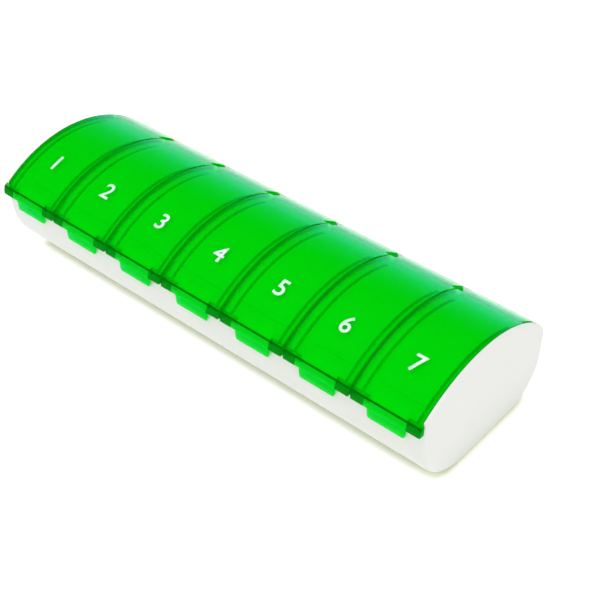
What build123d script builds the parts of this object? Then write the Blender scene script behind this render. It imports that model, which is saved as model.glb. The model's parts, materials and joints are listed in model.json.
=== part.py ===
"""Weekly pill box: one white tray with seven wells, seven hinged lids and seven hinge pins.

Millimetres, +Z up. X runs along the row of wells, the lid tabs face -Y and the hinge is at +Y.
"""
import os
from math import acos, atan2, cos, degrees, radians, sin, sqrt

from build123d import *

# Overall sizes
LENGTH = 137.2  # over the two end walls
DEPTH = 50.8  # from the edge of the lid skirts to the rear wall
HEIGHT = 31.8  # from the rest face to the crown of the lids
DAYS = 7

# Crown arc shared by the lids and the rear strip
CROWN_Y = -1.8  # where the arc is highest
CROWN_FALL = 12.0  # drop from the crown to the rear top corner

# Tray
WALL = 1.6  # front wall, rear wall and floor
DIVIDER = 2.6  # an end wall is half of this
FRONT_SETBACK = 2.0  # front wall behind the skirt edge
REAR_BELLY_R = 12.0
NOSE_R = 4.0
END_R = 1.0
END_RIM = 0.7  # top of an end wall beside the outer lids, flush with them
WELL_R = 1.5
LEDGE_DROP = 10.4  # crown down to the ledge under the lid corners
RIM_STEP = 0.7  # end walls above the ledge, behind the face of the front wall
LAND_W = 9.8  # raised catch land in front of each well
LAND_REACH = 3.0  # how far the corner notches run back
BEAD_R = 0.5
BEAD_OUT = 0.2
STRIP_W = 3.9  # rear strip, along the arc
LIP_T = 1.5  # strip where it overhangs a well

# Lids
LID_GAP = 0.4  # between neighbours
END_CLEAR = 0.2  # outer lids beside the end rims
LID_T = 1.2
SEAT_CLEAR = 0.15  # lid above the dividers
SKIRT_CLEAR = 0.3  # skirt in front of land and end walls, corner blocks beside a land
LEDGE_CLEAR = 0.2  # skirt above the ledge
SKIRT_LEAN = 0.7  # fold line behind the skirt edge
FOLD_R = 0.6
CORNER_R = 1.0
TAB_DROP = 13.8  # crown down to the tab lip
TAB_SET = 1.0  # tab face behind the skirt edge
TAB_TOP_W = 11.6
TAB_LIP_W = 9.4
TAB_ROOT = 1.0  # tab inside the skirt
TAB_BEND = 0.75  # pull of the S-curved sides, as a share of their run
LIP_R = 0.3
RIB_T = 0.9
RIB_DEEP = 2.4
RIB_IN = 1.65  # from a middle lid's side to the outer face of a rib
RIB_FRONT = 1.1  # front rib behind the inside of the front wall
RIB_REAR_Y = 11.0

# Hinge
KNUCKLE_R = 2.3
HINGE_BACK = 3.2  # axis in front of the rear strip, along the arc
NOTCH_FORE = 6.0  # lid notch over the dividers, in front of the axis
KNUCKLE_CLEAR = 0.2  # each side of the knuckle
PIN_R = 0.5
PIN_PRESS = 0.02
PIN_RUN = 0.05
PIN_END_CLEAR = 0.2
SOCKET_DEEP = 0.9
CLIP_MOUTH = 0.84  # narrower than the pin, so that it snaps in

# Margins of cutting and joining shapes
PAST = 6.0  # a cutter runs this far past the solid
INTO = 0.5  # a joined or cut shape runs this far into the solid
NEAR = 0.01  # for picking edges by place

# Worked-out sizes
PITCH = LENGTH / DAYS
SEAT_X = LENGTH / 2 - END_RIM
LID_END_X = SEAT_X - END_CLEAR
WELL_W = PITCH - DIVIDER
LID_W = PITCH - LID_GAP
FRONT_Y = -DEPTH / 2
REAR_Y = DEPTH / 2
WALL_Y = FRONT_Y + FRONT_SETBACK
RIM_Y = WALL_Y + RIM_STEP
LEDGE_Z = HEIGHT - LEDGE_DROP
TAB_Z = HEIGHT - TAB_DROP
SKIRT_Z = LEDGE_Z + LEDGE_CLEAR
FRONT_BELLY_R = TAB_Z
TAB_Y = FRONT_Y + TAB_SET
TAB_IN_Y = WALL_Y - SKIRT_CLEAR
REACH = REAR_Y - CROWN_Y
CROWN_R = (REACH**2 + CROWN_FALL**2) / (2 * CROWN_FALL)
ARC_Z = HEIGHT - CROWN_R
UNDER_R = CROWN_R - LID_T
SEAT_R = UNDER_R - SEAT_CLEAR
STRIP_A = degrees(atan2(CROWN_R - CROWN_FALL, REACH) + STRIP_W / CROWN_R)
HINGE_A = STRIP_A + degrees(HINGE_BACK / CROWN_R)
NOTCH_A = HINGE_A + degrees(NOTCH_FORE / CROWN_R)
FOLD_Y = FRONT_Y + SKIRT_LEAN
SKIRT_IN_Y = RIM_Y - SKIRT_CLEAR
KNUCKLE_L = WELL_W - 2 * KNUCKLE_CLEAR
PIN_L = WELL_W + 2 * (SOCKET_DEEP - PIN_END_CLEAR)
ABOVE = HEIGHT + 2 * PAST
CENTRES = [(i - (DAYS - 1) / 2) * PITCH for i in range(DAYS)]


def ring(r, angle):
    """Point of the YZ section at a radius and angle about the arc centre."""
    return (CROWN_Y + r * cos(radians(angle)), ARC_Z + r * sin(radians(angle)))


def arc_z(y, r):
    """Height of the arc of radius r at y."""
    return ARC_Z + sqrt(r * r - (y - CROWN_Y) ** 2)


def arc_angle(y, r):
    """Angle about the arc centre where the arc of radius r is at y."""
    return degrees(acos((y - CROWN_Y) / r))


def arc(centre, r, start, end):
    """Arc edge in section coordinates, angles in degrees."""
    points = []
    for a in (start, (start + end) / 2, end):
        points.append((centre[0] + r * cos(radians(a)), centre[1] + r * sin(radians(a))))
    return ThreePointArc(*points)


def crown_arc(r, start, end):
    """Arc edge about the crown's centre."""
    return arc((CROWN_Y, ARC_Z), r, start, end)


def chain(*points):
    """Straight edges through section points."""
    return [Line(a, b) for a, b in zip(points, points[1:])]


def along_x(sketch, start, end):
    """Extrude a YZ section from one X to another."""
    return extrude(Plane((start, 0, 0), x_dir=(0, 1, 0), z_dir=(1, 0, 0)) * sketch, amount=end - start)


def block(x0, x1, y0, y1, z0, z1):
    """Axis-aligned box from its limits."""
    return Pos((x0 + x1) / 2, (y0 + y1) / 2, (z0 + z1) / 2) * Box(x1 - x0, y1 - y0, z1 - z0)


def nearest(sketch, point):
    """Vertex of a sketch nearest to a section point."""
    return sketch.vertices().sort_by(lambda v: (v.X - point[0]) ** 2 + (v.Y - point[1]) ** 2)[0]


HINGE = ring(CROWN_R - KNUCKLE_R, HINGE_A)


def hinge_rod(r, length, centre_x=0.0):
    """Cylinder on the hinge axis."""
    return Pos(centre_x, *HINGE) * Rot(0, 90, 0) * Cylinder(r, length)


def belly(inset, top_front, rear_top):
    """Front wall, belly and rear wall edges, moved inwards by the inset."""
    front = (WALL_Y + FRONT_BELLY_R, FRONT_BELLY_R)
    rear = (REAR_Y - REAR_BELLY_R, REAR_BELLY_R)
    return [
        Line((WALL_Y + inset, top_front), (WALL_Y + inset, FRONT_BELLY_R)),
        arc(front, FRONT_BELLY_R - inset, 180, 270),
        Line((front[0], inset), (rear[0], inset)),
        arc(rear, REAR_BELLY_R - inset, 270, 360),
        Line((REAR_Y - inset, REAR_BELLY_R), (REAR_Y - inset, rear_top)),
    ]


def tray_blank():
    """Outer shape of the tray with rounded ends and the lid seat cut down between the end rims."""
    front_top = arc_z(WALL_Y, CROWN_R)
    rear_top = arc_z(REAR_Y, CROWN_R)
    edges = belly(0, front_top, rear_top)
    edges.append(crown_arc(CROWN_R, arc_angle(REAR_Y, CROWN_R), arc_angle(WALL_Y, CROWN_R)))
    section = make_face(edges)
    section = fillet(nearest(section, (REAR_Y, rear_top)), NOSE_R)
    blank = along_x(section, -LENGTH / 2, LENGTH / 2)
    blank = fillet(blank.faces().filter_by(Axis.X).edges(), END_R)
    seat = make_face(
        chain(
            ring(SEAT_R - PAST, STRIP_A),
            ring(CROWN_R + PAST, STRIP_A),
            (REAR_Y, ABOVE),
            (FRONT_Y - PAST, ABOVE),
            (FRONT_Y - PAST, LEDGE_Z - PAST),
            ring(SEAT_R - PAST, STRIP_A),
        )
    )
    seat = seat - Pos(CROWN_Y, ARC_Z) * Circle(SEAT_R)
    return blank - along_x(seat, -SEAT_X, SEAT_X)


def well_cutter():
    """One well: belly-shaped, open under the lid, tucked in below the rear strip."""
    lip_r = CROWN_R - LIP_T
    inner_y = REAR_Y - WALL
    lip_z = arc_z(inner_y, lip_r)
    edges = belly(WALL, ABOVE, lip_z)
    edges.append(crown_arc(lip_r, arc_angle(inner_y, lip_r), STRIP_A))
    outside = ring(CROWN_R + PAST, STRIP_A)
    edges += chain(ring(lip_r, STRIP_A), outside, (outside[0], ABOVE), (WALL_Y + WALL, ABOVE))
    cutter = along_x(make_face(edges), -WELL_W / 2, WELL_W / 2)
    side_edges = cutter.faces().filter_by(Axis.X).edges()
    front_y = WALL_Y + WALL
    rounded = [e for e in side_edges if e.center().Z < lip_z - NEAR or abs(e.center().Y - front_y) < NEAR]
    return fillet(rounded, WELL_R)


def clip_cutter(length):
    """Round pin socket with a narrower mouth through the top of a divider."""
    out = (cos(radians(HINGE_A)), sin(radians(HINGE_A)))
    side = (-out[1] * CLIP_MOUTH / 2, out[0] * CLIP_MOUTH / 2)
    low = HINGE
    high = (HINGE[0] + PAST * out[0], HINGE[1] + PAST * out[1])
    mouth = make_face(
        chain(
            (low[0] - side[0], low[1] - side[1]),
            (high[0] - side[0], high[1] - side[1]),
            (high[0] + side[0], high[1] + side[1]),
            (low[0] + side[0], low[1] + side[1]),
            (low[0] - side[0], low[1] - side[1]),
        )
    )
    return along_x(mouth, -length / 2, length / 2) + hinge_rod(PIN_R + PIN_RUN, length)


def make_tray():
    """Tray: blank, seven wells, corner notches, catch beads and pin sockets."""
    tray = tray_blank()
    well = well_cutter()
    clip = clip_cutter(WELL_W + 2 * SOCKET_DEEP)
    front_y = FRONT_Y - PAST
    notch_y = RIM_Y + LAND_REACH
    row_end = CENTRES[-1] + WELL_W / 2
    tray = tray - block(-SEAT_X, INTO - row_end, front_y, RIM_Y, LEDGE_Z, ABOVE)
    tray = tray - block(row_end - INTO, SEAT_X, front_y, RIM_Y, LEDGE_Z, ABOVE)
    edge = -row_end
    for x in CENTRES:
        tray = tray - (Pos(x, 0, 0) * well)
        tray = tray - (Pos(x, 0, 0) * clip)
        tray = tray - block(edge, x - LAND_W / 2, front_y, notch_y, LEDGE_Z, ABOVE)
        edge = x + LAND_W / 2
    tray = tray - block(edge, row_end, front_y, notch_y, LEDGE_Z, ABOVE)
    bead_z = (SKIRT_Z + arc_z(WALL_Y, SEAT_R)) / 2
    bead = Rot(0, 90, 0) * Cylinder(BEAD_R, LAND_W - 2 * BEAD_R)
    for x in CENTRES:
        tray = tray + (Pos(x, WALL_Y + BEAD_R - BEAD_OUT, bead_z) * bead)
    return tray


def lid_shell(left, right):
    """Curved panel folding into the front skirt, thick at its corners and thin in front of the land.

    Behind the front wall's face the panel lies between two X limits, beside the end rims on an outer lid.
    """
    fold = (FOLD_Y, arc_z(FOLD_Y, CROWN_R))
    edges = [crown_arc(CROWN_R, HINGE_A, arc_angle(FOLD_Y, CROWN_R))]
    edges += chain(
        fold,
        (FRONT_Y, SKIRT_Z),
        (SKIRT_IN_Y, SKIRT_Z),
        (SKIRT_IN_Y, arc_z(SKIRT_IN_Y, UNDER_R)),
    )
    edges.append(crown_arc(UNDER_R, arc_angle(SKIRT_IN_Y, UNDER_R), HINGE_A))
    edges.append(Line(ring(UNDER_R, HINGE_A), ring(CROWN_R, HINGE_A)))
    section = make_face(edges)
    section = fillet(nearest(section, fold), FOLD_R)
    shell = along_x(section, -LID_W / 2, LID_W / 2)
    for start, end in ((-LID_W, left), (right, LID_W)):
        shell = shell - block(start, end, TAB_IN_Y, REAR_Y, 0, ABOVE)
    plan = Rectangle(LID_W, DEPTH)
    corners = [nearest(plan, (-LID_W / 2, FRONT_Y)), nearest(plan, (LID_W / 2, FRONT_Y))]
    shell = shell & extrude(fillet(corners, CORNER_R), amount=ABOVE)
    half = LAND_W / 2 + SKIRT_CLEAR
    deep = SKIRT_IN_Y + INTO - TAB_IN_Y
    relief = Pos(TAB_IN_Y + deep / 2, SKIRT_Z) * Rectangle(deep, LEDGE_DROP)
    relief = relief & (Pos(CROWN_Y, ARC_Z) * Circle(UNDER_R))
    return shell - along_x(relief, -half, half)


def lid_tab():
    """Finger tab hanging from the skirt, with S-curved sides and a rounded lip."""
    top = SKIRT_Z + TAB_ROOT
    lip = [(TAB_Y, TAB_Z), (TAB_IN_Y, TAB_Z)]
    section = make_face(chain((TAB_Y, top), *lip, (TAB_IN_Y, top), (TAB_Y, top)))
    section = fillet([nearest(section, lip[0]), nearest(section, lip[1])], LIP_R)
    slab = along_x(section, -TAB_TOP_W, TAB_TOP_W)
    wide = TAB_TOP_W / 2
    slim = TAB_LIP_W / 2
    bend = (wide - slim) * TAB_BEND
    low = TAB_Z - INTO
    high = top + INTO
    edges = [
        Bezier((-wide, SKIRT_Z), (-wide + bend, SKIRT_Z), (-slim - bend, TAB_Z), (-slim, TAB_Z)),
        Bezier((wide, SKIRT_Z), (wide - bend, SKIRT_Z), (slim + bend, TAB_Z), (slim, TAB_Z)),
    ]
    edges += chain((-slim, TAB_Z), (-slim, low), (slim, low), (slim, TAB_Z))
    edges += chain((-wide, SKIRT_Z), (-wide, high), (wide, high), (wide, SKIRT_Z))
    outline = extrude(Plane.XZ * make_face(edges), amount=DEPTH, both=True)
    return slab & outline


def lid_ribs():
    """Two side ribs and a front rib under the panel, inside the well."""
    front_y = WALL_Y + WALL + RIB_FRONT
    ribs = Circle(UNDER_R + INTO) - Circle(UNDER_R - RIB_DEEP)
    band = Pos(CROWN_Y, ARC_Z) * ribs
    window = Pos((front_y + RIB_REAR_Y) / 2, HEIGHT) * Rectangle(RIB_REAR_Y - front_y, 2 * LEDGE_DROP)
    side = band & window
    inner = LID_W / 2 - RIB_IN - RIB_T
    rib = along_x(side, inner, inner + RIB_T)
    cross = band & (Pos(front_y + RIB_T / 2, HEIGHT) * Rectangle(RIB_T, 2 * LEDGE_DROP))
    return rib + mirror(rib, Plane.YZ) + along_x(cross, -inner, inner)


def make_lid(left, right):
    """Lid of the well at x = 0, its panel between two X limits, with tab, ribs and bored knuckle."""
    lid = lid_shell(left, right) + lid_tab() + lid_ribs()
    low = UNDER_R - INTO
    high = CROWN_R + INTO
    end_a = HINGE_A - degrees(INTO / CROWN_R)
    first = ring(low, NOTCH_A)
    corner = make_face(chain(first, ring(high, NOTCH_A), ring(high, end_a), ring(low, end_a), first))
    notch = along_x(corner, KNUCKLE_L / 2, LID_W)
    lid = lid - notch - mirror(notch, Plane.YZ)
    lid = lid + hinge_rod(KNUCKLE_R, KNUCKLE_L)
    return lid - hinge_rod(PIN_R + PIN_PRESS, LID_W)


def export(shape, node):
    """Write one node's solid."""
    export_step(shape, f"parts/{node}.step")


def main():
    """Build and write every node."""
    os.makedirs("parts", exist_ok=True)
    export(make_tray(), "tray")
    pin = hinge_rod(PIN_R, PIN_L)
    for number, x in enumerate(CENTRES, start=1):
        left = max(-LID_W / 2, -LID_END_X - x)
        right = min(LID_W / 2, LID_END_X - x)
        export(Pos(x, 0, 0) * make_lid(left, right), f"lid_{number}")
        export(Pos(x, 0, 0) * pin, f"hinge_pin_{number}")


main()
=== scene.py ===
"""Looks of a weekly pill box: a white moulded tray, translucent green lids, steel pins and printed numbers.

The tray and the lids are rebuilt as fine closed surfaces. Each is a YZ section, worked out as whole arrays
of points, carried along X with its end edges rounded, and then joined or cut where two mouldings meet. The
frame gives every place: the hinge line, the row of wells and the overall box.
"""
from __future__ import annotations

import json
import logging
from dataclasses import dataclass, field, replace
from enum import Enum
from typing import Any, Sequence

import bmesh
import bpy
import numpy as np
from mathutils import Matrix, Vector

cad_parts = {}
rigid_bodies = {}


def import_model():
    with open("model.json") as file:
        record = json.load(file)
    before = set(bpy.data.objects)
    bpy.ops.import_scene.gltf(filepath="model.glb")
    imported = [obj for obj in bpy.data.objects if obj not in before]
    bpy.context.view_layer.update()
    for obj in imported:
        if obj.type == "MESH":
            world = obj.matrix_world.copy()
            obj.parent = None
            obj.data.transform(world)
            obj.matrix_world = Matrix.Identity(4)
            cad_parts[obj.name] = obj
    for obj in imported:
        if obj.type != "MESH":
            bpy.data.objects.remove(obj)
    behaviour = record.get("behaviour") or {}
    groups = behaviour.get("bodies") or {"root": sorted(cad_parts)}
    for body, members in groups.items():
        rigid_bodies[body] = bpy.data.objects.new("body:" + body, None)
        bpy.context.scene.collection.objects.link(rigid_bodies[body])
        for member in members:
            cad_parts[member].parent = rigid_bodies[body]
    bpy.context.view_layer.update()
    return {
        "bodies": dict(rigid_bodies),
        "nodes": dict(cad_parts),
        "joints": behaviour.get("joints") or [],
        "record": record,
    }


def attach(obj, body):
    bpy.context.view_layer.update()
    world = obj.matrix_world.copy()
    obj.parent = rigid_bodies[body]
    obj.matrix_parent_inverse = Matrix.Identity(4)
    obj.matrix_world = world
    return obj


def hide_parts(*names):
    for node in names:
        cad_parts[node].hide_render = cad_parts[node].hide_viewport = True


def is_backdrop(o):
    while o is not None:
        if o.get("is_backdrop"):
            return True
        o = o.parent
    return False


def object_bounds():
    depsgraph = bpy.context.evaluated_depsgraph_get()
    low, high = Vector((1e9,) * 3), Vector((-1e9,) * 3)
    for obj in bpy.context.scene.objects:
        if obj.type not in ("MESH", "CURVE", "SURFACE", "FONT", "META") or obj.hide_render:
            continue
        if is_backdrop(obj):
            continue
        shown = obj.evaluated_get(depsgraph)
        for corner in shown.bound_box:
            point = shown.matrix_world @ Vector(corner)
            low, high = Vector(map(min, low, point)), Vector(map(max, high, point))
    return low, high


LOG = logging.getLogger("pill_box")
MM = 0.001
Points = np.ndarray
Socket = bpy.types.NodeSocket

# Fineness that all meshes share, lengths in metres and turns in degrees
SAME_POINT = 1e-7
MERGE = 1e-6
SMOOTH_TO = 32.0
CORNER_POINTS = 7
HOLE_STEP = 15.0

# Offset that keeps two faces from lying in one place
SPARE = 0.01 * MM


class Way(Enum):
    """Axis that an outline is carried along, with the order of (along, first, second) in X, Y, Z."""

    X = (0, 1, 2)
    Y = (1, 0, 2)
    Z = (2, 0, 1)


class Join(Enum):
    """How one closed surface is worked into another."""

    ADD = "UNION"
    CUT = "DIFFERENCE"
    KEEP = "INTERSECT"


class Figure(Enum):
    """What a shader works out from two values."""

    LARGER = "MAXIMUM"
    PRODUCT = "MULTIPLY"
    DIFFERENCE = "SUBTRACT"


class Zone(Enum):
    """Places where shade is painted on a lid, with how dark each is, from 0 to 1."""

    FOLD = 1.0
    BLOCK = 0.9
    ROUNDING = 0.85
    SKIRT_END = 0.7
    SIDE = 0.5
    REAR_SIDE = 0.35
    TAB = 0.12


def arc(centre: Sequence[float], radius: float, start: float, end: float, step: float = 2.0) -> Points:
    """Points of a circular arc, angles in degrees, about one point per step.

    Args:
        centre: Middle of the circle in the section.
        radius: Radius of the circle.
        start: First angle, from the section's first axis.
        end: Last angle.
        step: Largest turn between points, in degrees.

    Returns:
        Array of shape (n, 2).
    """
    count = max(2, int(np.ceil(abs(end - start) / step)) + 1)
    turn = np.radians(np.linspace(start, end, count))
    return np.stack([centre[0] + radius * np.cos(turn), centre[1] + radius * np.sin(turn)], axis=1)


def corner(before: Sequence[float], at: Sequence[float], after: Sequence[float], radius: float) -> Points:
    """Rounded corner: the circle that touches both straight runs, cut off at its two touching points.

    Args:
        before: A point on the run that comes in.
        at: The sharp corner.
        after: A point on the run that goes out.
        radius: Radius of the rounding.

    Returns:
        Array of shape (n, 2), from one touching point to the other.
    """
    at = np.asarray(at, float)
    into = np.asarray(before, float) - at
    out = np.asarray(after, float) - at
    into /= np.linalg.norm(into)
    out /= np.linalg.norm(out)
    half = 0.5 * np.arccos(np.clip(into @ out, -1, 1))
    middle = at + (into + out) / np.linalg.norm(into + out) * radius / np.sin(half)
    first = at + into * radius / np.tan(half) - middle
    last = at + out * radius / np.tan(half) - middle
    blend = np.linspace(0, 1, CORNER_POINTS)[:, None]
    spread = np.pi - 2 * half
    fan = (np.sin((1 - blend) * spread) * first + np.sin(blend * spread) * last) / np.sin(spread)
    return middle + fan


def outline(*stretches: Sequence) -> Points:
    """Closed outline from its stretches in turn, without doubled points, counter-clockwise.

    Args:
        stretches: Arrays of points, or single points.

    Returns:
        Array of shape (n, 2).
    """
    points = np.concatenate([np.atleast_2d(np.asarray(s, float)) for s in stretches])
    gap = np.linalg.norm(points - np.roll(points, 1, axis=0), axis=1)
    points = points[gap > SAME_POINT]
    after = np.roll(points, -1, axis=0)
    area = np.sum(points[:, 0] * after[:, 1] - after[:, 0] * points[:, 1])
    return points if area > 0 else points[::-1]


def circle(centre: Sequence[float], radius: float) -> Points:
    """Outline of a full circle."""
    return outline(arc(centre, radius, 0, 360 - HOLE_STEP, HOLE_STEP))


def box(low: Sequence[float], high: Sequence[float]) -> Points:
    """Outline of an upright rectangle between two opposite corners."""
    return outline(low, (high[0], low[1]), high, (low[0], high[1]))


def inward(points: Points) -> Points:
    """Directions that point into an outline, square to the line through each point's two neighbours.

    Args:
        points: Closed outline, counter-clockwise.

    Returns:
        Unit directions, of the same shape.
    """
    along = np.roll(points, -1, axis=0) - np.roll(points, 1, axis=0)
    along /= np.linalg.norm(along, axis=1, keepdims=True)
    return np.stack([-along[:, 1], along[:, 0]], axis=1)


def linked(name: str, data: bpy.types.ID) -> bpy.types.Object:
    """A new object in the scene, at the origin.

    Args:
        name: Name of the object.
        data: Mesh, camera, lamp or text that it holds.

    Returns:
        The object.
    """
    piece = bpy.data.objects.new(name, data)
    bpy.context.scene.collection.objects.link(piece)
    return piece


def placed(name: str, data: bpy.types.ID, columns: Sequence[Points]) -> bpy.types.Object:
    """A new camera or lamp in the scene, from its axes.

    Args:
        name: Name of the object.
        data: Camera or lamp that it holds.
        columns: Its X, Y and Z axes and its place.

    Returns:
        The object.
    """
    holder = linked(name, data)
    matrix = np.eye(4)
    matrix[:3, :4] = np.stack(columns, axis=1)
    holder.matrix_world = Matrix(matrix.tolist())
    return holder


def evaluated(piece: bpy.types.Object) -> bpy.types.Mesh:
    """A new mesh with the object's modifiers applied."""
    graph = bpy.context.evaluated_depsgraph_get()
    return bpy.data.meshes.new_from_object(piece.evaluated_get(graph))


def discard(piece: bpy.types.Object) -> None:
    """Remove an object with its mesh.

    Args:
        piece: The object.
    """
    spare = piece.data
    bpy.data.objects.remove(piece)
    bpy.data.meshes.remove(spare)


def coat(piece: bpy.types.Object, material: bpy.types.Material) -> None:
    """Make a material the only one of a piece."""
    piece.data.materials.clear()
    piece.data.materials.append(material)


def read(items: bpy.types.bpy_prop_collection, name: str) -> Points:
    """Read a vector of each vertex or face.

    Args:
        items: A mesh's vertices or faces.
        name: Name of the vector.

    Returns:
        Array of shape (n, 3).
    """
    values = np.empty(len(items) * 3)
    items.foreach_get(name, values)
    return values.reshape(-1, 3)


def move(mesh: bpy.types.Mesh, points: Points) -> None:
    """Put a mesh's vertices at new places."""
    mesh.vertices.foreach_set("co", points.ravel())
    mesh.update()


def divided(mesh: bpy.types.Mesh, axis: int, places: Sequence[float]) -> None:
    """Divide a mesh's faces along planes square to an axis.

    Args:
        mesh: The mesh that changes.
        axis: Number of the axis.
        places: Where the planes cross it.
    """
    normal = np.eye(3)[axis]
    parts = bmesh.new()
    parts.from_mesh(mesh)
    for place in places:
        whole = parts.verts[:] + parts.edges[:] + parts.faces[:]
        bmesh.ops.bisect_plane(parts, geom=whole, plane_co=tuple(place * normal), plane_no=tuple(normal))
    parts.to_mesh(mesh)
    parts.free()


def smoothed(mesh: bpy.types.Mesh) -> None:
    """Merge doubled vertices, then shade smooth where faces meet at a small angle and sharp elsewhere.

    Args:
        mesh: The mesh that changes.
    """
    parts = bmesh.new()
    parts.from_mesh(mesh)
    bmesh.ops.remove_doubles(parts, verts=parts.verts, dist=MERGE)
    bmesh.ops.dissolve_degenerate(parts, dist=SAME_POINT, edges=parts.edges)
    parts.to_mesh(mesh)
    parts.free()
    mesh.shade_smooth()
    mesh.set_sharp_from_angle(angle=float(np.radians(SMOOTH_TO)))


@dataclass
class Moulding:
    """Closed surface in the making, as whole arrays, in one or more places along X.

    Attributes:
        vertices: Array of shape (n, 3), in metres.
        quads: Vertex numbers of the faces along it, counter-clockwise from outside.
        caps: Vertex numbers of its two end faces.
        places: How far each copy of the surface is moved along X.
    """

    vertices: np.ndarray
    quads: np.ndarray
    caps: np.ndarray
    places: Sequence[float] = (0.0,)

    @classmethod
    def carried(
        cls,
        section: Points,
        start: float,
        end: float,
        edge: float = 0.0,
        way: Way = Way.X,
        share: np.ndarray | None = None,
        steps: int = 4,
    ) -> "Moulding":
        """Carry an outline along an axis and round its two end edges.

        A ring of the surface lies at each station. Near an end the ring shrinks by edge * (1 - cos t) while
        its station moves out by edge * sin t, which is a quarter circle.

        Args:
            section: Closed outline, counter-clockwise.
            start: First station.
            end: Last station.
            edge: Radius of the end edges.
            way: Axis of the stations.
            share: How much of the rounding each point takes, from 0 to 1.
            steps: Rings in each rounding.

        Returns:
            The closed surface.
        """
        turn = np.linspace(0, np.pi / 2, steps + 1) if edge else np.zeros(1)
        shrink = edge * (1 - np.cos(turn))
        reach = edge * (1 - np.sin(turn))
        stations = np.concatenate([start + reach[::-1], end - reach])
        insets = np.concatenate([shrink[::-1], shrink])
        part = np.ones(len(section)) if share is None else share
        rings = section[None] + insets[:, None, None] * (inward(section) * part[:, None])[None]
        block = np.empty((len(stations), len(section), 3))
        along, first, second = way.value
        block[..., along] = stations[:, None]
        block[..., first] = rings[..., 0]
        block[..., second] = rings[..., 1]
        count = len(section)
        here = np.arange(count)
        there = np.roll(here, -1)
        row = np.arange(len(stations) - 1)[:, None] * count
        beyond = row + count
        quads = np.stack([row + here, row + there, beyond + there, beyond + here], axis=-1).reshape(-1, 4)
        caps = np.stack([here[::-1], here + (len(stations) - 1) * count])
        if way is Way.Y:
            quads = quads[:, ::-1]
            caps = caps[:, ::-1]
        return cls(block.reshape(-1, 3), quads, caps)

    def repeated(self, places: Sequence[float]) -> "Moulding":
        """The same surface with a copy at each of these places along X."""
        return replace(self, places=places)

    def made(self, name: str) -> bpy.types.Object:
        """Make a mesh object from this surface.

        Args:
            name: Name of the object and of its mesh.

        Returns:
            The object, in the scene.
        """
        shift = np.zeros((len(self.places), 1, 3))
        shift[:, 0, 0] = self.places
        vertices = (self.vertices[None] + shift).reshape(-1, 3)
        faces = []
        for first in range(0, len(vertices), len(self.vertices)):
            faces += (self.quads + first).tolist() + (self.caps + first).tolist()
        mesh = bpy.data.meshes.new(name)
        mesh.from_pydata(vertices, [], faces)
        mesh.validate()
        return linked(name, mesh)


def work(piece: bpy.types.Object, tool: Moulding, how: Join) -> None:
    """Add, cut or keep a closed surface on a piece, exactly, and keep the result as its mesh.

    Args:
        piece: The object that changes.
        tool: The surface that is worked into it.
        how: What is done.
    """
    helper = tool.made("helper")
    step = piece.modifiers.new("work", "BOOLEAN")
    step.operation = how.value
    step.solver = "EXACT"
    step.object = helper
    result = evaluated(piece)
    piece.modifiers.remove(step)
    old = piece.data
    piece.data = result
    bpy.data.meshes.remove(old)
    discard(helper)


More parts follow.
